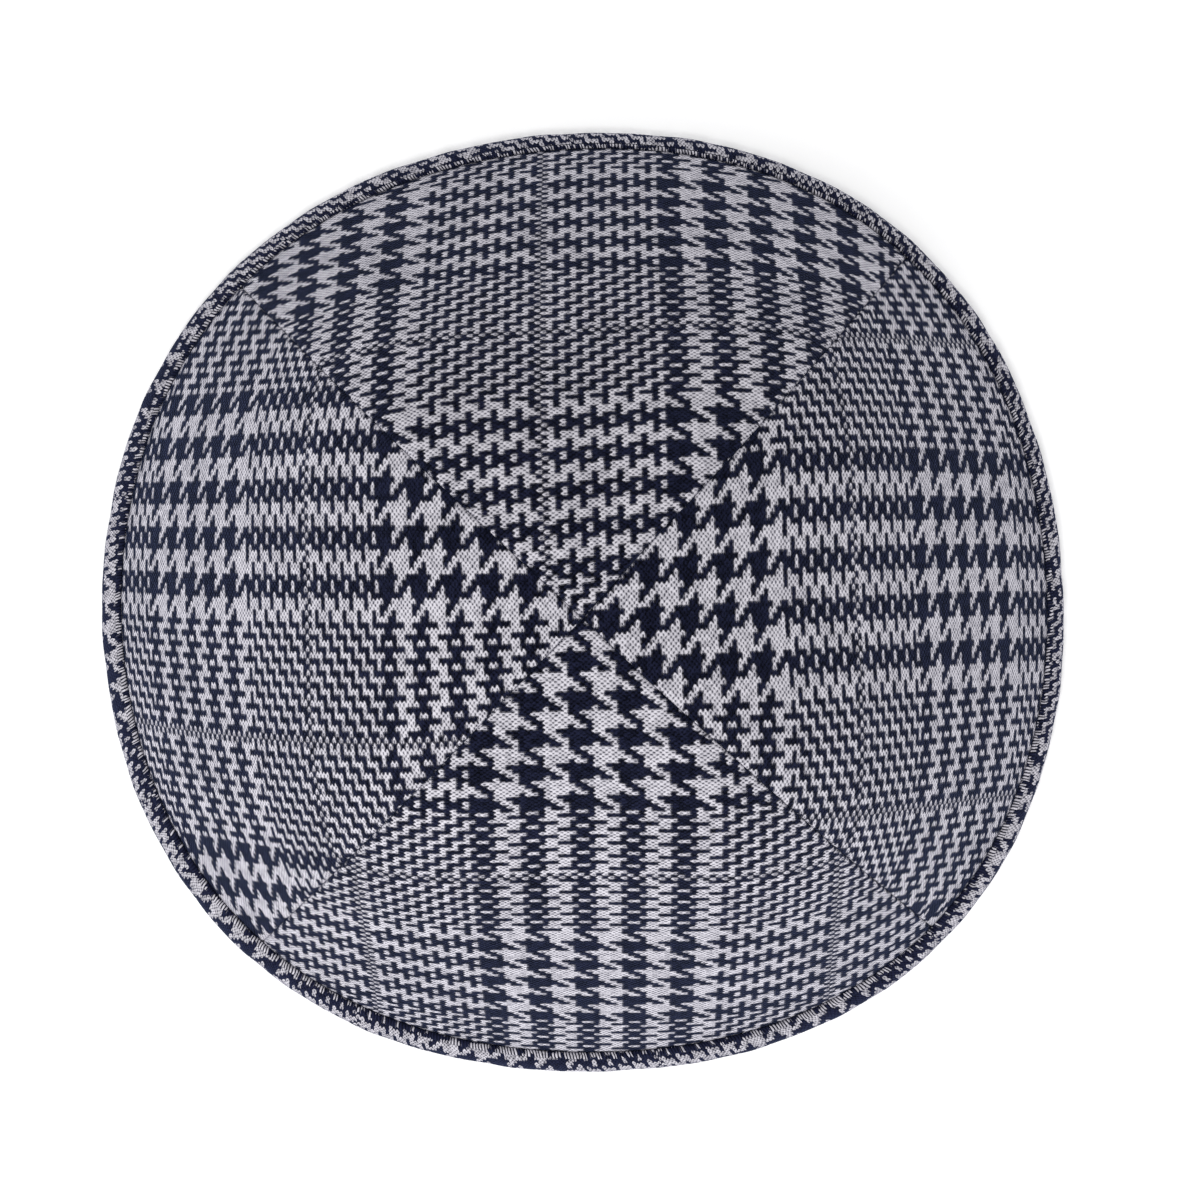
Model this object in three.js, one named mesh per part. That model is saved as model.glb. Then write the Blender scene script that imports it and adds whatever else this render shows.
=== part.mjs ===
// A four-panel knitted kippah: four cloth gores sewn to a dome, and a tape folded round its rim.
// Millimetres, +Z up. The rim rests on z = 0, and the crown is near the Z axis.
import * as THREE from 'three';

// The whole hat
const WIDTH = 170; // across the rim, through the middles of the right and left panels
const CROWN_HEIGHT = 72;
const DOME_POWER = 2.08; // 2 is a parabola, and a little more is flatter at the crown
const CORNER_FULLNESS = 0.24; // how far the seams stand out of a round dome, near the crown

// How the rim strays from a circle: each row is a wave round it, as shares of the mean radius
const RIM_WAVES = [
  { turns: 2, cosine: 0.0117, sine: 0 },
  { turns: 3, cosine: -0.0049, sine: -0.0041 },
  { turns: 4, cosine: -0.0133, sine: -0.0028 },
];

// Azimuths of the four seams in degrees, close to the crown and at the rim
const SEAMS = [
  { name: 'right_back', atCrown: 49, atRim: 47.2 },
  { name: 'back_left', atCrown: 137.3, atRim: 137.3 },
  { name: 'left_front', atCrown: 225.5, atRim: 226.3 },
  { name: 'front_right', atCrown: 316, atRim: 317 },
];
const SEAM_STRAIGHT_FROM = 0.35; // share of the way down from which a seam keeps its azimuth

// Each panel lies between two seams
const PANELS = [
  { node: 'panel_right', from: 3, to: 0 },
  { node: 'panel_back', from: 0, to: 1 },
  { node: 'panel_left', from: 1, to: 2 },
  { node: 'panel_front', from: 2, to: 3 },
];

// Cloth
const WALL = 1.4;
const GAP = 0.35; // between pieces that touch on the real hat
const SEAM_DENT = 0.7; // how deep the cloth is drawn in at a seam
const SEAM_DENT_WIDTH = 2.6;
const SEAM_DENT_FADE = 0.2; // share of the way up from the rim over which that dent grows from nothing

// Binding: a tape folded round the panels' lower edge
const TAPE = 1.0;
const EDGE_HEIGHT = 2.0; // of the panels' lower edge, inside the fold
const EDGE_INSET = 1.76; // of that edge from the hat's outline
const BINDING_DEPTH = 5.4; // how far the tape reaches up from the panels' lower edge
const FLAT_FROM = 0.45; // what hangs lower than this under the fold is pressed flat where it rests

// Fineness of the meshes
const ROWS = 18;
const COLUMNS = 12;
const RIM_STEPS = 84;

const DEGREE = Math.PI / 180;
const FULL_TURN = 2 * Math.PI;

function rimWave(azimuth) {
  let share = 1;
  for (const wave of RIM_WAVES) {
    share += wave.cosine * Math.cos(wave.turns * azimuth) + wave.sine * Math.sin(wave.turns * azimuth);
  }
  return share;
}

const MEAN_RADIUS = WIDTH / (rimWave(0) + rimWave(Math.PI));

// The outer edge of the whole hat, seen from above
function outlineRadius(azimuth) {
  return MEAN_RADIUS * rimWave(azimuth);
}

// The panels' outer face: share 0 is the crown, and share 1 is the lower edge
function faceRadius(share, azimuth) {
  const corner = (1 - Math.cos(4 * azimuth)) / 2;
  const fullness = 1 + CORNER_FULLNESS * corner * (1 - share * share) ** 2;
  return (outlineRadius(azimuth) - EDGE_INSET) * share * fullness;
}

function faceHeight(share) {
  return CROWN_HEIGHT - (CROWN_HEIGHT - EDGE_HEIGHT) * share ** DOME_POWER;
}

// The face's outward direction in the upright plane through the axis
function outward(share, azimuth) {
  const step = 0.01;
  const above = Math.max(share - step, 0);
  const run = faceRadius(share + step, azimuth) - faceRadius(above, azimuth);
  const drop = faceHeight(above) - faceHeight(share + step);
  const length = Math.hypot(run, drop);
  return { out: drop / length, up: run / length };
}

// A point at some depth under the face
function underFace(share, azimuth, depth) {
  const way = outward(share, azimuth);
  const radius = faceRadius(share, azimuth) - depth * way.out;
  const height = faceHeight(share) - depth * way.up;
  return new THREE.Vector3(radius * Math.cos(azimuth), radius * Math.sin(azimuth), height);
}

function seamAzimuth(seam, share) {
  const along = Math.min(share / SEAM_STRAIGHT_FROM, 1);
  const blend = along * along * (3 - 2 * along);
  return DEGREE * (seam.atCrown + (seam.atRim - seam.atCrown) * blend);
}

// One panel: a grid of points on its outer face and one on its inner face, closed along all edges
function panelGeometry({ from, to }) {
  const halfGap = GAP / 2;
  // shares of the seam dent's width at which a column runs beside each seam
  const besideSeam = [0, 0.5, 1];
  const middle = Array.from({ length: COLUMNS - 1 }, (_, i) => (i + 1) / COLUMNS);

  function rowAzimuths(share) {
    const right = seamAzimuth(SEAMS[from], share);
    let left = seamAzimuth(SEAMS[to], share);
    if (left < right) {
      left += FULL_TURN;
    }
    const radius = faceRadius(share, (right + left) / 2);
    const widest = (left - right) / 2;
    const angleAt = (distance) => Math.min(Math.asin(Math.min(distance / radius, 1)), widest);
    const edges = besideSeam.map((part) => angleAt(halfGap + part * SEAM_DENT_WIDTH));
    const inner = edges[edges.length - 1];
    const width = left - right - 2 * inner;
    const depth = SEAM_DENT * Math.min((1 - share) / SEAM_DENT_FADE, 1);
    const dents = besideSeam.map((part) => depth * (1 - part) ** 2);
    return [
      ...edges.map((angle, i) => ({ azimuth: right + angle, dent: dents[i] })),
      ...middle.map((part) => ({ azimuth: right + inner + part * width, dent: 0 })),
      ...edges.map((angle, i) => ({ azimuth: left - angle, dent: dents[i] })).reverse(),
    ];
  }

  // The tip is where both seams' gaps meet
  const firstShare = halfGap / Math.sin(Math.PI / 4) / (MEAN_RADIUS - EDGE_INSET);
  const shareAt = (row) => firstShare + (1 - firstShare) * (row / ROWS);
  const tipShare = shareAt(0);
  const tipAzimuths = rowAzimuths(tipShare);
  const tipAzimuth = (tipAzimuths[0].azimuth + tipAzimuths[tipAzimuths.length - 1].azimuth) / 2;

  const faces = [0, WALL].map((depth) => {
    const points = [underFace(tipShare, tipAzimuth, depth + SEAM_DENT)];
    for (let row = 1; row <= ROWS; row += 1) {
      const share = shareAt(row);
      for (const { azimuth, dent } of rowAzimuths(share)) {
        points.push(underFace(share, azimuth, depth + dent));
      }
    }
    return points;
  });

  const across = tipAzimuths.length;
  const layer = faces[0].length;
  const at = (row, column) => (row === 0 ? 0 : 1 + (row - 1) * across + column);
  const triangles = [];
  for (let row = 0; row < ROWS; row += 1) {
    for (let column = 0; column + 1 < across; column += 1) {
      const a = at(row, column);
      const b = at(row + 1, column);
      const c = at(row + 1, column + 1);
      const d = at(row, column + 1);
      triangles.push([a, b, c], [layer + a, layer + c, layer + b]);
      if (row > 0) {
        triangles.push([a, c, d], [layer + a, layer + d, layer + c]);
      }
    }
  }
  const last = across - 1;
  for (let row = 0; row < ROWS; row += 1) {
    const [a, b] = [at(row, 0), at(row + 1, 0)];
    const [c, d] = [at(row, last), at(row + 1, last)];
    triangles.push([a, layer + a, layer + b], [a, layer + b, b]);
    triangles.push([c, d, layer + d], [c, layer + d, layer + c]);
  }
  for (let column = 0; column < last; column += 1) {
    const [a, b] = [at(ROWS, column), at(ROWS, column + 1)];
    triangles.push([a, layer + a, layer + b], [a, layer + b, b]);
  }
  return meshGeometry([...faces[0], ...faces[1]], triangles);
}

// The tape's section: along runs up the panel from its lower edge, and across runs out from its outer face
function tapeSection() {
  const outside = GAP + TAPE;
  const inside = -WALL - GAP - TAPE;
  const round = TAPE * 0.4;
  return [
    { along: -GAP, across: GAP },
    { along: BINDING_DEPTH - round, across: GAP },
    { along: BINDING_DEPTH, across: GAP + round },
    { along: BINDING_DEPTH - round, across: outside - 0.1 },
    { along: BINDING_DEPTH / 2, across: outside + 0.1 },
    { along: -TAPE, across: outside },
    { along: -TAPE - 0.8, across: outside - 0.35 },
    { along: -GAP - TAPE - 1, across: outside - 0.9 },
    { along: -GAP - TAPE - 1, across: -WALL - GAP },
    { along: 0, across: inside },
    { along: BINDING_DEPTH / 2, across: inside },
    { along: BINDING_DEPTH - round, across: inside + 0.1 },
    { along: BINDING_DEPTH, across: -WALL - GAP - round },
    { along: BINDING_DEPTH - round, across: -WALL - GAP },
    { along: -GAP, across: -WALL - GAP },
  ];
}

function bindingGeometry() {
  const section = tapeSection();
  const points = [];
  for (let step = 0; step < RIM_STEPS; step += 1) {
    const azimuth = (step / RIM_STEPS) * FULL_TURN;
    const way = outward(1, azimuth);
    for (const { along, across } of section) {
      const radius = faceRadius(1, azimuth) + across * way.out - along * way.up;
      const height = EDGE_HEIGHT + across * way.up + along * way.out;
      const rested = height < FLAT_FROM ? 0 : height;
      points.push(new THREE.Vector3(radius * Math.cos(azimuth), radius * Math.sin(azimuth), rested));
    }
  }
  const triangles = [];
  const count = section.length;
  for (let step = 0; step < RIM_STEPS; step += 1) {
    for (let corner = 0; corner < count; corner += 1) {
      const a = step * count + corner;
      const b = ((step + 1) % RIM_STEPS) * count + corner;
      const next = (corner + 1) % count - corner;
      triangles.push([a, a + next, b + next], [a, b + next, b]);
    }
  }
  return meshGeometry(points, triangles);
}

function meshGeometry(points, triangles) {
  const geometry = new THREE.BufferGeometry();
  geometry.setAttribute('position', new THREE.Float32BufferAttribute(points.flatMap((p) => [p.x, p.y, p.z]), 3));
  geometry.setIndex(triangles.flat());
  geometry.computeVertexNormals();
  return geometry;
}

const knit = { color: 0x74768a, roughness: 0.92, metalness: 0 };
const boundKnit = { color: 0x5c5e72, roughness: 0.92, metalness: 0 };

const kippah = new THREE.Group();
for (const panel of PANELS) {
  const mesh = new THREE.Mesh(panelGeometry(panel), new THREE.MeshStandardMaterial(knit));
  mesh.name = panel.node;
  kippah.add(mesh);
}
const binding = new THREE.Mesh(bindingGeometry(), new THREE.MeshStandardMaterial(boundKnit));
binding.name = 'rim_binding';
kippah.add(binding);

// The rim's waves aren't the same on both sides, so the hat is moved until its box is centred
const box = new THREE.Box3().setFromObject(kippah);
const boxMiddle = box.getCenter(new THREE.Vector3());
kippah.position.set(-boxMiddle.x, -boxMiddle.y, -box.min.z);

export default kippah;
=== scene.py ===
# %% [markdown]
# # A four-panel knitted kippah
#
# This small cap is sewn from four gores of one checked jersey knit. They meet at the crown,
# and a narrow tape of the same knit binds the rim. The photograph looks almost straight down
# on it.
#
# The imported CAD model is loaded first. It is the frame that every piece here has to fit.

import math

import bpy
import numpy as np
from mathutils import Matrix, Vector


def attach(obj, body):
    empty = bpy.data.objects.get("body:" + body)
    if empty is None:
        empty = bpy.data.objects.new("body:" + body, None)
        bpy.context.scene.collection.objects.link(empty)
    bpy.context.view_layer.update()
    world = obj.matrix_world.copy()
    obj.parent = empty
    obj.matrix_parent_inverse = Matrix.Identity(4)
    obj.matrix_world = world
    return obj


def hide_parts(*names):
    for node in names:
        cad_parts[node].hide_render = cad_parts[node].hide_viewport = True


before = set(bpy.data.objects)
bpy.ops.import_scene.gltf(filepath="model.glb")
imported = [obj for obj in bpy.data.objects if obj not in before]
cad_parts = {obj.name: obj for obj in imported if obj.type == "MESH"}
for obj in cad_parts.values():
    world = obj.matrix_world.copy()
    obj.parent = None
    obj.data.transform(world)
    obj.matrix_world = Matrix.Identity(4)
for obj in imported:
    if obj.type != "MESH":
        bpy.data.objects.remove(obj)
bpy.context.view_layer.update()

# %% [markdown]
# ## The dome
#
# All pieces follow one dome, so its shape is written once, as the functions that the CAD
# source uses. A share of 0 is the crown and 1 is the panels' lower edge. The rim is a
# slightly squared circle, described by three waves round it. The waves, the seams' places
# and the dome's curve were measured in the photograph by other scripts, and rounded.
# Lengths here are millimetres, and they turn into metres only when a mesh is made.

# %% The dome's sizes
MM = 0.001
HAT_WIDTH = 170.0
CROWN_HEIGHT = 72.0
DOME_POWER = 2.08
CORNER_FULLNESS = 0.24
EDGE_HEIGHT = 2.0
EDGE_INSET = 1.76
HAT_SHIFT = (0.42, -0.35)  # the rim's waves are uneven, and this centres its box
RIM_WAVES = [
    {"turns": 2, "cosine": 0.0117, "sine": 0.0},
    {"turns": 3, "cosine": -0.0049, "sine": -0.0041},
    {"turns": 4, "cosine": -0.0133, "sine": -0.0028},
]


# %% The dome's functions
def rim_wave(azimuth):
    share = 1.0 + 0.0 * azimuth
    for wave in RIM_WAVES:
        share = share + wave["cosine"] * np.cos(wave["turns"] * azimuth)
        share = share + wave["sine"] * np.sin(wave["turns"] * azimuth)
    return share


MEAN_RADIUS = HAT_WIDTH / (rim_wave(0.0) + rim_wave(math.pi))


def face_radius(share, azimuth):
    corner = (1 - np.cos(4 * azimuth)) / 2
    fullness = 1 + CORNER_FULLNESS * corner * (1 - share**2) ** 2
    return (MEAN_RADIUS * rim_wave(azimuth) - EDGE_INSET) * share * fullness


def face_height(share):
    return CROWN_HEIGHT - (CROWN_HEIGHT - EDGE_HEIGHT) * np.abs(share) ** DOME_POWER


def outward(share, azimuth):
    """The face's outward direction in the upright plane through the axis, as (out, up)."""
    step = 0.01
    above = np.maximum(share - step, 0)
    run = face_radius(share + step, azimuth) - face_radius(above, azimuth)
    drop = face_height(above) - face_height(share + step)
    length = np.hypot(run, drop)
    return drop / length, run / length


def under_face(share, azimuth, depth):
    """Points at some depth under the dome's face, in metres."""
    out, up = outward(share, azimuth)
    radius = face_radius(share, azimuth) - depth * out
    x = radius * np.cos(azimuth) + HAT_SHIFT[0]
    y = radius * np.sin(azimuth) + HAT_SHIFT[1]
    z = face_height(share) - depth * up
    return np.stack([x, y, z], axis=-1) * MM


def length_down(share, azimuth, steps=40):
    """How far the cloth runs from the crown down to this share, along the dome."""
    total = 0.0 * share
    radius, height = 0.0 * share, CROWN_HEIGHT + 0.0 * share
    for step in range(1, steps + 1):
        part = share * step / steps
        next_radius, next_height = face_radius(part, azimuth), face_height(part)
        total = total + np.hypot(next_radius - radius, next_height - height)
        radius, height = next_radius, next_height
    return total


print("mean radius", round(float(MEAN_RADIUS), 2), "mm")
print("crown to edge", round(float(length_down(np.array(1.0), np.array(0.0))), 1), "mm of cloth")

# %% [markdown]
# ## Camera
#
# The photograph was taken from about 0.65 m above the crown with a long lens, a little towards the back
# panel and tipped by two degrees. Those numbers were worked out from how much larger the crown's
# stitches are than the rim would make them, and from where the crown falls in the picture, and they are
# rounded here. Other scripts worked them out, and they are rounded here.

# %% Place the camera
PHOTO_WIDTH = 1200  # px
FOCAL_PIXELS = 4088
SENSOR = 36.0
CAMERA_AT = (0.0042, 0.0245, 0.7268)
CAMERA_TURN = (math.radians(-1.909), math.radians(0.093), 0)

bpy.ops.object.camera_add(location=CAMERA_AT, rotation=CAMERA_TURN)
camera = bpy.context.object
camera.name = "photo_camera"
camera.data.sensor_width = SENSOR
camera.data.lens = FOCAL_PIXELS / PHOTO_WIDTH * SENSOR
camera.data.clip_start = 0.01
bpy.context.scene.camera = camera
print("lens", round(camera.data.lens, 1), "mm")

# %% [markdown]
# ## Shader maths
#
# The knit's check is a rule about whole numbers, which is easiest to write as maths. A
# small class wraps a socket and turns Python's operators into Math nodes, and one method
# adds any other node.


# %% A class for materials and one for their numbers
class Finish:
    """A material being made, with one method that adds any node."""

    def __init__(self, name):
        self.material = bpy.data.materials.new(name)
        self.material.use_nodes = True
        self.tree = self.material.node_tree
        self.tree.nodes.clear()

    def add(self, kind, settings=None, sockets=None):
        node = self.tree.nodes.new(kind)
        for setting, value in (settings or {}).items():
            setattr(node, setting, value)
        for socket, value in (sockets or {}).items():
            if isinstance(value, Number):
                self.tree.links.new(value.socket, node.inputs[socket])
            elif isinstance(value, bpy.types.NodeSocket):
                self.tree.links.new(value, node.inputs[socket])
            else:
                node.inputs[socket].default_value = value
        return node

    def blend(self, factor, low, high):
        """A colour that goes from low to high as the factor goes from 0 to 1."""
        settings = {"data_type": "RGBA", "clamp_factor": True}
        mix = self.add("ShaderNodeMix", settings, {0: factor, 6: low, 7: high})
        return mix.outputs[2]


class Number:
    """A socket that carries a number, so that shader maths reads as Python."""

    def __init__(self, finish, socket):
        self.finish = finish
        self.socket = socket

    def math(self, operation, *values):
        node = self.finish.add("ShaderNodeMath", {"operation": operation}, dict(enumerate(values)))
        return Number(self.finish, node.outputs[0])

    def __add__(self, other):
        return self.math("ADD", self, other)

    def __radd__(self, other):
        return self.math("ADD", other, self)

    def __sub__(self, other):
        return self.math("SUBTRACT", self, other)

    def __rsub__(self, other):
        return self.math("SUBTRACT", other, self)

    def __mul__(self, other):
        return self.math("MULTIPLY", self, other)

    def __rmul__(self, other):
        return self.math("MULTIPLY", other, self)

    def __truediv__(self, other):
        return self.math("DIVIDE", self, other)

    def __mod__(self, other):
        return self.math("FLOORED_MODULO", self, other)

    def __lt__(self, other):
        return self.math("LESS_THAN", self, other)

    def __gt__(self, other):
        return self.math("GREATER_THAN", self, other)

    def __abs__(self):
        return self.math("ABSOLUTE", self)

    def whole(self):
        return self.math("FLOOR", self)

    def cosine(self):
        return self.math("COSINE", self)

    def at_least(self, other):
        return self.math("MAXIMUM", self, other)


def paint(red, green, blue):
    """A colour given as 8-bit screen values, as the linear values that Blender works in."""

    def linear(level):
        level = level / 255
        return level / 12.92 if level <= 0.04045 else ((level + 0.055) / 1.055) ** 2.4

    return (linear(red), linear(green), linear(blue), 1.0)


# %% [markdown]
# ## The check
#
# The pattern is a traditional glen check. Across and down, the knit counts the same run
# of 80 threads: a fine zone of 40 where pale and navy alternate, with a two-stitch hairline
# in its middle, then five pairs of blocks of four navy and four pale threads. Where two
# threads cross, a twill of four decides which of them is on top, and that twill moves over
# by one step in the fine zones. Blocks crossing blocks make the large pointed houndstooth,
# and blocks crossing the fine zone make stripes of small ticks. So a rule for one thread,
# used twice, charts the whole cloth.

# %% The rule for one thread, and for one stitch
REPEAT = 80
FINE_ZONE = 40
HAIRLINE = 19.5  # the middle of the two hairline threads
BLOCK = 4


def thread_is_fine(number):
    return number < FINE_ZONE - 0.5


def thread_is_pale(number):
    fine = thread_is_fine(number)
    block = ((number - FINE_ZONE) % (2 * BLOCK)) > BLOCK - 0.5
    return fine * (number % 2) + (1 - fine) * block


def thread_is_hairline(number):
    return abs(number - HAIRLINE) < 1


def stitch_is_pale(wale, course):
    """1 for a pale stitch and 0 for a navy one, from its column and row in the knit."""
    wale = wale % REPEAT
    course = course % REPEAT
    twill = (wale + course + thread_is_fine(wale) - thread_is_fine(course)) % 4
    wale_on_top = abs(twill - 1.5) < 1
    pale = wale_on_top * thread_is_pale(wale) + (1 - wale_on_top) * thread_is_pale(course)
    hairline = thread_is_hairline(wale).at_least(thread_is_hairline(course))
    checker = (wale + course) % 2
    return hairline * checker + (1 - hairline) * pale


# %% [markdown]
# ## The knit
#
# A jersey stitch shows two legs that lean together like the sides of a tent, so every
# column of stitches is a chain of small arrowheads. The piece's own UV map counts columns
# (wales) and rows (courses) of stitches. The fraction of the first count says where a point
# is across its stitch, and the row count is bent by it into arrowheads.
#
# The yarns leave small holes: one between the two legs of each stitch, and one between neighbouring
# columns, half a row on. Two cosines multiplied put them in just those places, and the one is sharpened
# and the other drawn out until a hole is a narrow upright slit. The same product is the bump, so the
# holes sink and the legs between them stand up. It also darkens the colour: the holes and the sides of
# the legs are painted dark, partly as painted shade and partly as the dark back yarn that shows through
# the holes. Every stitch also gets its own slight tone, as spun yarn is never even, and a little noise
# moves the legs about.

# %% Colours and sizes of the knit
# PALE_SHADE and NAVY_SHADE are each yarn's darkest colour: painted shade in the holes and on the sides
# of the legs, partly the dark back yarn showing through the holes
PALE = paint(212, 209, 217)
PALE_SHADE = paint(52, 52, 66)
NAVY = paint(31, 34, 56)
NAVY_SHADE = paint(5, 5, 11)
ARROW_DROP = 0.5  # of a row, from the tip of an arrowhead to its feet
PINCH = 0.14  # of a stitch, by which navy closes in on a pale leg
PALE_FUZZ = 0.17  # how much pale shows where fibres of both yarns mix at such an edge
HOLE_AT = 0.07  # of a row, where the holes between the columns are
WOBBLE = 0.5  # of a stitch, by which the softness of the yarn moves the legs about
YARN_RELIEF = 0.3 * MM
SHINE = 0.03  # wool scatters light and hardly mirrors any
FUZZ = 0.12  # the fibres that stand up and catch light where the cloth turns away
FUZZ_TINT = (0.38, 0.52, 1.0, 1.0)
FULL_TURN = 2 * math.pi
WOBBLE_ACROSS = {"scale": 1100.0, "detail": 1.0}  # noise about as fine as a stitch
WOBBLE_DOWN = {"scale": 1300.0, "detail": 1.0}
FIBRES = {"scale": 2700.0, "detail": 3.0, "roughness": 0.65}
CLOUDS = {"scale": 60.0}
FIBRE_RELIEF = 0.2  # of the yarn's own relief
# What makes a yarn lighter, each as a share of the way from its shade colour to its full colour. The
# swell is painted shade, darkest in the holes and on the sides of the legs; own, fibres and clouds are
# the yarn's uneven tone.
PALE_LIGHT = {"swell": 0.92, "own": 0.3, "fibres": 0.5, "clouds": 0.25, "level": 0.0}
NAVY_LIGHT = {"swell": 0.7, "own": 0.5, "fibres": 1.7, "clouds": 0.3, "level": -0.08}


def rounded(ramp):
    """Turns a straight ramp from 0 to 1 into the swelling side of a round yarn."""
    return ramp * (2 - ramp)


def stitch_of(across, down):
    """The column and row of the stitch at a point of the map."""
    from_middle = abs((across % 1) * 2 - 1)
    bent = down - ARROW_DROP * (from_middle - 0.5)
    return across.whole(), bent.whole()


def yarn_swell(across, down):
    """1 on a leg of yarn, and 0 in the middle of a hole, which is a narrow upright slit."""
    narrow = (across * FULL_TURN).cosine()
    narrow = narrow * abs(narrow)
    tall = ((down - HOLE_AT) * FULL_TURN).cosine()
    tall = tall * (1.5 - 0.5 * tall * tall)
    hole = 0.5 + 0.5 * narrow * tall
    return 1 - hole * hole


def noise(finish, scale, detail=2.0, roughness=0.5):
    """Noise about 0 in the object's own space."""
    place = finish.add("ShaderNodeTexCoord")
    sockets = {
        "Vector": place.outputs["Object"],
        "Scale": scale,
        "Detail": detail,
        "Roughness": roughness,
    }
    return Number(finish, finish.add("ShaderNodeTexNoise", None, sockets).outputs["Fac"]) - 0.5


def stitch_shade(finish, wale, course):
    """A number about 0 that differs from stitch to stitch."""
    own = finish.add("ShaderNodeCombineXYZ", None, {0: wale, 1: course})
    settings = {"noise_dimensions": "2D"}
    shade = finish.add("ShaderNodeTexWhiteNoise", settings, {"Vector": own.outputs[0]})
    return Number(finish, shade.outputs["Value"]) - 0.5


def yarn_light(shares, swell, own, fibres, clouds):
    light = swell * shares["swell"] + own * shares["own"] + fibres * shares["fibres"]
    return light + clouds * shares["clouds"] + shares["level"]


def knit_surface(finish, colour, height):
    """The matt surface that both knit finishes end in."""
    bump_sockets = {"Strength": 0.7, "Distance": YARN_RELIEF, "Height": height}
    bump = finish.add("ShaderNodeBump", None, bump_sockets)
    sockets = {
        "Base Color": colour,
        "Roughness": 0.95,
        "Specular IOR Level": SHINE,
        "Sheen Weight": FUZZ,
        "Sheen Roughness": 0.4,
        "Sheen Tint": FUZZ_TINT,
        "Normal": bump.outputs[0],
    }
    surface = finish.add("ShaderNodeBsdfPrincipled", None, sockets)
    finish.add("ShaderNodeOutputMaterial", None, {"Surface": surface.outputs[0]})


def knit_finish(name, map_name):
    finish = Finish(name)
    stitches = finish.add("ShaderNodeUVMap", {"uv_map": map_name})
    split = finish.add("ShaderNodeSeparateXYZ", None, {0: stitches.outputs[0]})
    across = Number(finish, split.outputs[0]) + noise(finish, **WOBBLE_ACROSS) * WOBBLE
    down = Number(finish, split.outputs[1]) + noise(finish, **WOBBLE_DOWN) * WOBBLE

    # Which stitch the point is in, and how much yarn is there. Navy closes in on a pale leg
    # from both sides, so a point is fully pale only if it is so a little to either side.
    wale, course = stitch_of(across, down)
    left = stitch_is_pale(*stitch_of(across - PINCH, down))
    right = stitch_is_pale(*stitch_of(across + PINCH, down))
    pale = left * right * (1 - 2 * PALE_FUZZ) + (left + right) * PALE_FUZZ
    swell = yarn_swell(across, down)

    # Yarn is uneven: each stitch has its own shade, and fine fibres break its edge
    fibres = noise(finish, **FIBRES)
    clouds = noise(finish, **CLOUDS)
    own = stitch_shade(finish, wale, course)
    # Where the swell is low, the colour goes towards the painted shade of the holes and the legs' sides
    pale_light = yarn_light(PALE_LIGHT, swell, own, fibres, clouds)
    navy_light = yarn_light(NAVY_LIGHT, swell, own, fibres, clouds)
    pale_yarn = finish.blend(pale_light, PALE_SHADE, PALE)
    navy_yarn = finish.blend(navy_light, NAVY_SHADE, NAVY)
    colour = finish.blend(pale, navy_yarn, pale_yarn)
    knit_surface(finish, colour, swell + fibres * FIBRE_RELIEF)
    return finish.material


check_knit = knit_finish("check_knit", "stitches")
print("check knit:", len(check_knit.node_tree.nodes), "nodes")

# %% [markdown]
# ## The knit's reverse
#
# Inside the hat, the jacquard's back shows both yarns as tiny dots in every row, with the
# check only faintly readable. It is finished plainly, from the same stitch count.


# %% Make the reverse
BACK_PALE = paint(168, 167, 180)
BACK_BASE = 0.17  # how pale the cloth is between the dots
BACK_DOTS = 1.1
BACK_FIBRES = 0.7
BACK_FIBRE_SCALE = 4200.0


def reverse_finish(name, map_name):
    finish = Finish(name)
    stitches = finish.add("ShaderNodeUVMap", {"uv_map": map_name})
    split = finish.add("ShaderNodeSeparateXYZ", None, {0: stitches.outputs[0]})
    across = Number(finish, split.outputs[0])
    down = Number(finish, split.outputs[1])
    bar = rounded(1 - abs(((down * 2) % 1) * 2 - 1))
    dot = rounded(1 - abs(((across + 0.5 * ((down * 2).whole() % 2)) % 1) * 2 - 1))
    fibres = noise(finish, BACK_FIBRE_SCALE)
    light = bar * dot * BACK_DOTS + fibres * BACK_FIBRES + BACK_BASE
    colour = finish.blend(light, NAVY, BACK_PALE)
    knit_surface(finish, colour, bar * dot)
    return finish.material


knit_reverse = reverse_finish("knit_reverse", "stitches")

# %% [markdown]
# ## The gores
#
# Each gore is one piece of cloth between two seams, rolled in where it is sewn so that a
# narrow allowance stands inside the hat. A grid primitive is the flat cloth. Its points are
# laid on the dome by the functions above, which keeps the four gores in step along
# their seams, where sculpting each by hand would not. The Solidify modifier then
# gives the cloth its thickness.
#
# The stitch map is what makes the check right. Cloth hardly stretches, so a point's place
# in the knit follows from its distance from the crown along the dome, out and across,
# divided by the size of a stitch. Further terms say how far the cloth was pulled when it
# was sewn.
#
# The 70 numbers of these counts are not sizes that a maker would choose. They are rounded
# results of a least-squares fit that other scripts made between this chart and the
# photograph. A few straight counts would be the better way, and the check would then lie
# less exactly.

# %% Seams, gores and how the knit lies on each gore
SEAMS = [
    {"name": "right_back", "at_crown": 49.0, "at_rim": 47.2},
    {"name": "back_left", "at_crown": 137.3, "at_rim": 137.3},
    {"name": "left_front", "at_crown": 225.5, "at_rim": 226.3},
    {"name": "front_right", "at_crown": 316.0, "at_rim": 317.0},
]
SEAM_STRAIGHT_FROM = 0.35
WALL = 1.1
SEAM_ROLL = 0.65  # radius of the cloth's roll into a seam
SEAM_CLEAR = 0.02  # from the seam's plane to the cloth beside it
ALLOWANCE = [0.8, 2.2, 3.6]  # depths of the points down the seam allowance
BESIDE_SEAM = [0.02, 0.07, 0.16, 0.28, 0.44, 0.65, 1.0, 1.7, 2.7]  # columns beside a seam
CORE_ROOM = 2.0  # where half a row has less than this past those columns, they close up
CORE_COLUMNS = 84
ROWS = 104
MM_IN_CM = 10
SAME_PLACE = 0.02 * MM  # points of a gore nearer than this are one point

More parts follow.
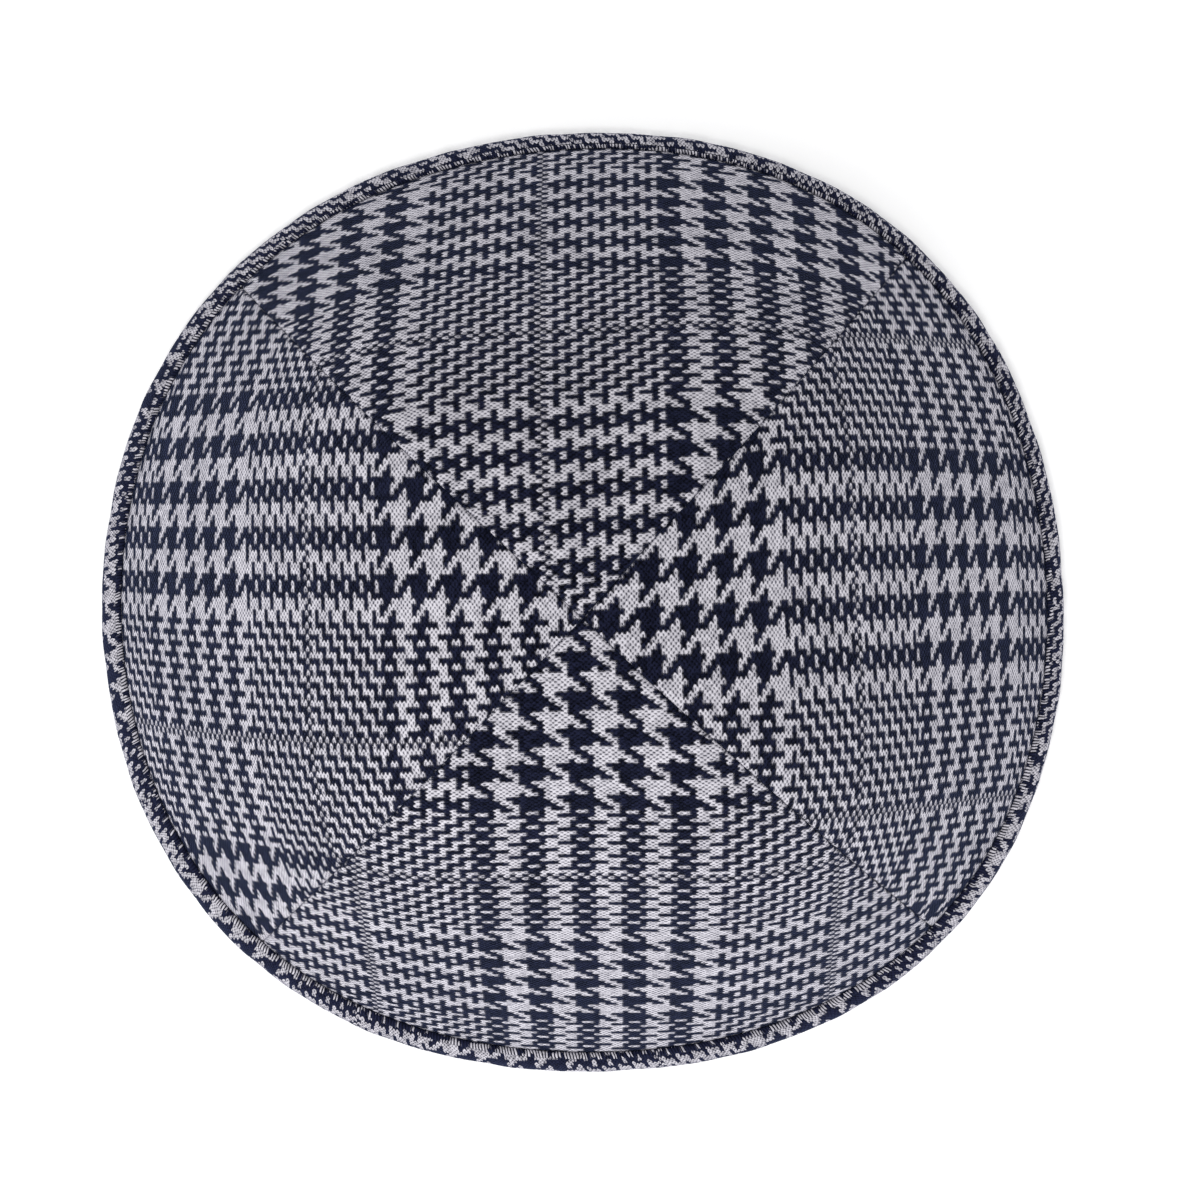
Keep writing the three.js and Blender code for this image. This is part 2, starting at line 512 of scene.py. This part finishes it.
# Stitch counts over a gore: at the crown, and then what each centimetre out (o) and across (a)
# adds. A longer name is a fitted term that bends the rows, so "oa" goes by out times across.
GORES = [
    {
        "piece": "gore_right",
        "node": "panel_right",
        "seams": (3, 0),
        "faces": 0,
        "wales": {"crown": -42.8, "o": 11.51, "a": 0.153, "oo": 0.291, "oa": 0.266, "aa": -0.02},
        "wale_stretch": {"ooo": -0.0206, "ooa": -0.026, "aaa": -0.0411, "oaaa": 0.0041, "aaaa": 0.0027},
        "courses": {"crown": -14.6, "o": 0.488, "a": -10.74, "oo": -0.038, "oa": 0.482},
        "course_stretch": {"aaa": 0.003, "ooa": -0.0153},
    },
    {
        "piece": "gore_back",
        "node": "panel_back",
        "seams": (0, 1),
        "faces": 90,
        "wales": {"crown": -47.8, "o": 11.64, "a": 1.027, "oo": 0.293, "oa": -0.066, "aa": 0.109},
        "wale_stretch": {"ooo": -0.0201, "aaa": -0.0145, "oaaa": 0.0018, "aaaa": 0.0007},
        "courses": {"crown": 25.8, "o": 0.353, "a": -10.49, "oo": -0.019, "oa": 0.342},
        "course_stretch": {"aaa": 0.009, "ooa": -0.0052},
    },
    {
        "piece": "gore_left",
        "node": "panel_left",
        "seams": (1, 2),
        "faces": 180,
        "wales": {"crown": 85.1, "o": -12.8, "a": -0.627, "oo": -0.027, "oa": 0.016, "aa": -0.016},
        "wale_stretch": {"ooo": 0.0044, "aaa": -0.0052, "oaaa": 0.0016, "aaaa": -0.00294},
        "courses": {"crown": 0.0, "o": -0.373, "a": 11.1, "oo": 0.02, "oa": -0.474},
        "course_stretch": {"aaa": -0.0086, "ooa": 0.0149},
    },
    {
        "piece": "gore_front",
        "node": "panel_front",
        "seams": (2, 3),
        "faces": 270,
        "wales": {"crown": 162.2, "o": -11.66, "a": -0.399, "oo": -0.376, "oa": 0.073, "aa": 0.025},
        "wale_stretch": {"ooo": 0.0264, "aaa": -0.0006, "oaaa": -0.0008, "aaaa": -0.0021},
        "courses": {"crown": -21.3, "o": -0.185, "a": 10.56, "oo": 0.005, "oa": -0.429, "aa": -0.025},
        "course_stretch": {"aaa": -0.0054, "ooa": 0.0118},
    },
]


def seam_azimuth(seam, share):
    along = np.minimum(share / SEAM_STRAIGHT_FROM, 1)
    blend = along**2 * (3 - 2 * along)
    return np.radians(seam["at_crown"] + (seam["at_rim"] - seam["at_crown"]) * blend)


def stitch_count(lie, stretch, out, across):
    """The count at some centimetres out from the crown and across."""
    count = lie["crown"]
    for name, size in [*lie.items(), *stretch.items()]:
        if name != "crown":
            count = count + size * out ** name.count("o") * across ** name.count("a")
    return count


# %% Helpers that make a mesh from a grid primitive
def grid_cloth(name, columns, rows, points, maps):
    """A grid primitive whose points are laid at given places, with UV maps given by point."""
    bpy.ops.object.select_all(action="DESELECT")
    bpy.ops.mesh.primitive_grid_add(x_subdivisions=columns - 1, y_subdivisions=rows - 1, size=1)
    piece = bpy.context.object
    piece.name = name
    piece.data.name = name
    mesh = piece.data
    mesh.vertices.foreach_set("co", points.reshape(-1))
    while mesh.uv_layers:
        mesh.uv_layers.remove(mesh.uv_layers[0])
    corner_points = np.zeros(len(mesh.loops), dtype=np.int32)
    mesh.loops.foreach_get("vertex_index", corner_points)
    for map_name, values in maps.items():
        layer = mesh.uv_layers.new(name=map_name)
        layer.data.foreach_set("uv", values.reshape(-1, 2)[corner_points].reshape(-1))
    mesh.update()
    return piece


def merge_points(piece, distance):
    bpy.ops.object.select_all(action="DESELECT")
    piece.select_set(True)
    bpy.context.view_layer.objects.active = piece
    bpy.ops.object.mode_set(mode="EDIT")
    bpy.ops.mesh.select_all(action="SELECT")
    bpy.ops.mesh.remove_doubles(threshold=distance)
    bpy.ops.mesh.normals_make_consistent(inside=False)
    bpy.ops.mesh.select_all(action="DESELECT")
    bpy.ops.object.mode_set(mode="OBJECT")


def give_thickness(piece, thickness, inner_material):
    solidify = piece.modifiers.new("thickness", "SOLIDIFY")
    solidify.thickness = thickness
    solidify.offset = -1
    solidify.use_even_offset = False
    solidify.material_offset = inner_material
    solidify.material_offset_rim = inner_material
    bpy.ops.object.modifier_apply(modifier=solidify.name)
    bpy.ops.object.shade_smooth_by_angle(angle=math.radians(50))


# %% Lay a gore on the dome
def gore_points(gore):
    """Places and stitch counts of a gore's points, row by row from the crown to the rim."""
    first, last = [SEAMS[index] for index in gore["seams"]]
    tip = SEAM_CLEAR / math.sin(math.pi / 4) / MEAN_RADIUS
    shares = tip + (1 - tip) * np.linspace(0, 1, ROWS)
    facing = math.radians(gore["faces"])
    all_points = []
    all_counts = []
    for share in shares:
        start = seam_azimuth(first, share)
        end = seam_azimuth(last, share)
        if end < start:
            start = start - FULL_TURN
        half = (end - start) / 2
        radius = face_radius(share, (start + end) / 2)
        room = min(1.0, radius * math.sin(half) / (BESIDE_SEAM[-1] + CORE_ROOM))
        angles = [math.asin(min(gap * room / radius, 0.999)) for gap in BESIDE_SEAM]
        inner = angles[-1]
        core = np.linspace(start + inner, end - inner, CORE_COLUMNS)[1:-1]
        low = [start] * len(ALLOWANCE) + [start + angle for angle in angles]
        high = [end - angle for angle in reversed(angles)] + [end] * len(ALLOWANCE)
        azimuths = np.concatenate([low, core, high])
        from_seam = radius * np.sin(np.minimum(azimuths - start, end - azimuths))
        rolled = np.clip(SEAM_ROLL - from_seam, 0, SEAM_ROLL)
        depths = SEAM_ROLL - np.sqrt(SEAM_ROLL**2 - rolled**2)
        for index, depth in enumerate(reversed(ALLOWANCE)):
            depths[index] = depth
            depths[len(depths) - 1 - index] = depth
        share_column = np.full(azimuths.shape, share)
        all_points.append(under_face(share_column, azimuths, depths))
        down = length_down(share_column, azimuths)
        out = down / MM_IN_CM * np.cos(azimuths - facing)
        across = down / MM_IN_CM * np.sin(azimuths - facing)
        wales = stitch_count(gore["wales"], gore["wale_stretch"], out, across)
        courses = stitch_count(gore["courses"], gore["course_stretch"], out, across)
        all_counts.append(np.stack([wales, courses], axis=-1))
    return np.array(all_points), np.array(all_counts)


def sew_gore(gore):
    points, counts = gore_points(gore)
    rows, columns = points.shape[:2]
    piece = grid_cloth(gore["piece"], columns, rows, points, {"stitches": counts})
    piece.data.materials.append(check_knit)
    piece.data.materials.append(knit_reverse)
    merge_points(piece, SAME_PLACE)
    give_thickness(piece, WALL * MM, 1)
    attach(piece, "root")
    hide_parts(gore["node"])
    return piece


gores = [sew_gore(gore) for gore in GORES]
for piece in gores:
    print(piece.name, len(piece.data.polygons), "faces")

# %% [markdown]
# ## The binding
#
# A tape of the same knit is folded over the raw edge of the gores and sewn through. Its
# outside shows a narrow roll beside the gores and a fuller band that turns under at the
# rim. The tape's section is a short table of points, swept round the rim. The tape reaches
# higher up on one side of the hat, and it has the slow unevenness of a tape fed by hand.

# %% The tape's section: along runs up the gore from its edge, across runs out from its face
TAPE_SECTION = [
    {"along": 0.1, "across": 0.1},
    {"along": 1.6, "across": 0.07},
    {"along": 2.6, "across": 0.05},
    {"along": 2.92, "across": 0.08},
    {"along": 3.08, "across": 0.2},
    {"along": 3.06, "across": 0.42},
    {"along": 2.9, "across": 0.62},
    {"along": 2.66, "across": 0.74},
    {"along": 2.48, "across": 0.72},
    {"along": 2.38, "across": 0.68},
    {"along": 2.26, "across": 0.78},
    {"along": 1.8, "across": 1.06},
    {"along": 1.0, "across": 1.32},
    {"along": 0.4, "across": 1.44},
    {"along": -0.3, "across": 1.46},
    {"along": -1.1, "across": 1.3},
    {"along": -1.8, "across": 1.0},
    {"along": -2.3, "across": 0.5},
    {"along": -2.35, "across": -0.6},
    {"along": -2.3, "across": -1.5},
    {"along": -1.2, "across": -2.2},
    {"along": 0.0, "across": -2.4},
    {"along": 1.0, "across": -2.45},
    {"along": 2.0, "across": -2.35},
    {"along": 2.8, "across": -2.15},
    {"along": 3.2, "across": -1.9},
    {"along": 3.25, "across": -1.65},
    {"along": 3.0, "across": -1.4},
    {"along": 2.4, "across": -1.3},
    {"along": 0.1, "across": -1.3},
]
TOP_OF_TAPE = 5  # the point of the section from which the tape is measured
RING_STEPS = 720
FLAT_BELOW = 0.35  # what would hang lower than this is pressed flat on the table
PUCKERS = [
    {"turns": 61, "height": 0.04, "phase": 0.4},
    {"turns": 37, "height": 0.05, "phase": 2.1},
    {"turns": 17, "height": 0.06, "phase": 4.4},
]
FULLER_BY = 0.42  # how far the tape's outside stands out all round, in mm
FULLER_MORE = 0.4  # and how much more or less towards one side
FULLER_TOWARDS = math.radians(265)
HIGHER_FROM = 2.3  # up to here the tape is stretched, and above here it is only shifted
HIGHER_MORE = 0.28  # share by which the tape reaches higher or lower
HIGHER_TOWARDS = math.radians(205)
PUCKERS_FROM = 0.8  # how far out the part of the tape is that puckers
SAME_PLACE_ON_TAPE = 0.01 * MM


def binding_points():
    turn = np.linspace(0, FULL_TURN, RING_STEPS + 1)
    one = np.ones(turn.shape)
    out, up = outward(one, turn)
    pucker = sum(p["height"] * np.sin(p["turns"] * turn + p["phase"]) for p in PUCKERS)
    edge = face_radius(one, turn)
    fuller = FULLER_BY + FULLER_MORE * np.cos(turn - FULLER_TOWARDS)
    higher = HIGHER_MORE * np.cos(turn - HIGHER_TOWARDS)
    step = np.hypot(np.diff(edge * np.cos(turn)), np.diff(edge * np.sin(turn)))
    round_rim = np.concatenate([[0], np.cumsum(step)])
    all_points = []
    for point in [*TAPE_SECTION, TAPE_SECTION[0]]:
        proud = point["across"] + (pucker if point["across"] > PUCKERS_FROM else 0.0)
        outside = min(max(point["across"], 0.0), 1.0)
        along = point["along"] + higher * min(max(point["along"], 0.0), HIGHER_FROM)
        radius = edge + proud * out - along * up + fuller * outside
        height = EDGE_HEIGHT + proud * up + along * out
        height = np.where(height < FLAT_BELOW, 0.0, height)
        x = radius * np.cos(turn) + HAT_SHIFT[0]
        y = radius * np.sin(turn) + HAT_SHIFT[1]
        all_points.append(np.stack([x, y, height], axis=-1) * MM)
    points = np.array(all_points)
    lengths = np.linalg.norm(np.diff(points, axis=0), axis=-1) / MM
    over_tape = np.concatenate([np.zeros((1, len(turn))), np.cumsum(lengths, axis=0)])
    over_tape = over_tape - over_tape[TOP_OF_TAPE]
    round_all = np.broadcast_to(round_rim, over_tape.shape)
    return points, np.stack([round_all, over_tape], axis=-1)


# %% [markdown]
# ## The binding's knit
#
# On the tape the columns of stitches run over it with a small slant, and the tape was cut a few degrees
# off its row. So zigzags of the fine zone and short slanting patches follow each other round the rim.
# Its map counts millimetres round the rim and over the tape from its upper fold, and the finish turns
# them into stitches. The sewing draws out a row of loops along the fold, each painted darker towards
# its sides as shade. A thin groove under it is where the needle went through, and it is painted dark as
# shade: its pale yarn turns navy and its light drops.

# %% Make the binding's finish
SLANT = -0.3  # how far a column moves round the rim for each mm over the tape
TAPE_WALE = 0.68
TAPE_COURSE = 0.82
DRIFT = 0.151  # courses by which the tape was cut off its row, for each mm round
FIRST_WALE = 64  # where in the check the tape starts
FIRST_COURSE = 4
ROLL_FROM = -0.6  # over the tape, from its fold
ROLL_TO = 0.75
GROOVE_TO = 0.95
LOOPS = 1.25  # loops for each stitch where the sewing draws them out along the roll
LOOP_FROM = 0.62  # how far up the side of a loop its pale yarn starts to show
UNEVEN = {"scale": 300.0}  # noise by which the knit of the hand-fed tape wanders
UNEVEN_ACROSS = 1.6  # stitches that it wanders round the rim for each one over the tape
TAPE_FIBRES = {"scale": 2900.0, "detail": 3.0, "roughness": 0.65}
TAPE_FIBRE_RELIEF = 0.3
TAPE_LIGHT = {"swell": 0.8, "groove_shade": 0.65, "own": 0.4, "fibres": 1.3}
# The tape's navy is painted lighter, as a painted sheen of its fuzz at the rim
TAPE_NAVY_PAINTED_SHEEN = 0.2


def binding_finish():
    finish = Finish("binding_knit")
    lie = finish.add("ShaderNodeUVMap", {"uv_map": "tape"})
    split = finish.add("ShaderNodeSeparateXYZ", None, {0: lie.outputs[0]})
    around = Number(finish, split.outputs[0])
    over = Number(finish, split.outputs[1])
    unevenness = noise(finish, **UNEVEN)

    across = (around + over * SLANT) / TAPE_WALE + unevenness * UNEVEN_ACROSS + FIRST_WALE
    down = over / TAPE_COURSE + around * DRIFT + unevenness + FIRST_COURSE
    wale, course = stitch_of(across, down)
    loop = rounded(1 - abs(((across * LOOPS) % 1) * 2 - 1))

    on_roll = (over > ROLL_FROM) * (over < ROLL_TO)
    # The groove under the roll is painted shade: no pale shows in it, and its light drops
    groove_shade = (over > ROLL_TO) * (over < GROOVE_TO)
    pale = stitch_is_pale(wale, course)
    pale = pale * (1 - groove_shade) * (1 - on_roll * (loop < LOOP_FROM))
    # On the roll the loops are painted darker towards their sides, as shade; off it the knit's swell
    # paints the shade of its holes
    swell = on_roll * loop + (1 - on_roll) * yarn_swell(across, down)

    fibres = noise(finish, **TAPE_FIBRES)
    own = stitch_shade(finish, wale, course)
    light = swell * (TAPE_LIGHT["swell"] - groove_shade * TAPE_LIGHT["groove_shade"])
    light = light + own * TAPE_LIGHT["own"] + fibres * TAPE_LIGHT["fibres"]
    pale_yarn = finish.blend(light, PALE_SHADE, PALE)
    # The navy is painted lighter here, as painted sheen
    navy_yarn = finish.blend(light + TAPE_NAVY_PAINTED_SHEEN, NAVY_SHADE, NAVY)
    colour = finish.blend(pale, navy_yarn, pale_yarn)
    knit_surface(finish, colour, swell + fibres * TAPE_FIBRE_RELIEF)
    return finish.material


binding_knit = binding_finish()

# %% Sweep the tape round the rim
points, counts = binding_points()
binding = grid_cloth("binding_tape", points.shape[1], points.shape[0], points, {"tape": counts})
binding.data.materials.append(binding_knit)
merge_points(binding, SAME_PLACE_ON_TAPE)
bpy.ops.object.shade_smooth_by_angle(angle=math.radians(60))
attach(binding, "root")
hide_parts("rim_binding")
print(binding.name, len(binding.data.polygons), "faces")

# %% [markdown]
# ## Floor and light
#
# The photograph's ground is plain white and its light is soft from all sides. A pale floor
# that glows a little, a white sky that is brighter low down and one large soft lamp do the
# same.

# %% Floor and light
bpy.ops.object.select_all(action="DESELECT")
bpy.ops.mesh.primitive_plane_add(size=6, location=(0, 0, 0))
floor = bpy.context.object
floor.name = "floor"
floor_finish = Finish("white_floor")
floor_sockets = {
    "Base Color": (0.92, 0.92, 0.92, 1),
    "Roughness": 0.9,
    "Emission Color": (1, 1, 1, 1),
    "Emission Strength": 0.25,
}
floor_surface = floor_finish.add("ShaderNodeBsdfPrincipled", None, floor_sockets)
floor_finish.add("ShaderNodeOutputMaterial", None, {"Surface": floor_surface.outputs[0]})
floor.data.materials.append(floor_finish.material)

SKY_LOW = 1.38  # the white walls of the light tent, at the height of the hat
SKY_HIGH = 0.48  # and its top
scene = bpy.context.scene
scene.world = bpy.data.worlds.new("studio")
scene.world.use_nodes = True
sky = scene.world.node_tree
direction = sky.nodes.new("ShaderNodeTexCoord")
direction_parts = sky.nodes.new("ShaderNodeSeparateXYZ")
sky_level = sky.nodes.new("ShaderNodeMapRange")
sky_level.inputs["To Min"].default_value = SKY_LOW
sky_level.inputs["To Max"].default_value = SKY_HIGH
sky.links.new(direction.outputs["Generated"], direction_parts.inputs[0])
sky.links.new(direction_parts.outputs["Z"], sky_level.inputs["Value"])
sky.nodes["Background"].inputs["Color"].default_value = (1, 1, 1, 1)
sky.links.new(sky_level.outputs["Result"], sky.nodes["Background"].inputs["Strength"])
scene.view_settings.view_transform = "Standard"

LAMP_AT = Vector((-0.35, -0.75, 1.0))
bpy.ops.object.light_add(type="AREA", location=LAMP_AT)
lamp = bpy.context.object
lamp.name = "soft_lamp"
lamp.data.shape = "DISK"
lamp.data.size = 0.9
lamp.data.energy = 9.5
lamp.rotation_euler = LAMP_AT.to_track_quat("Z", "Y").to_euler()
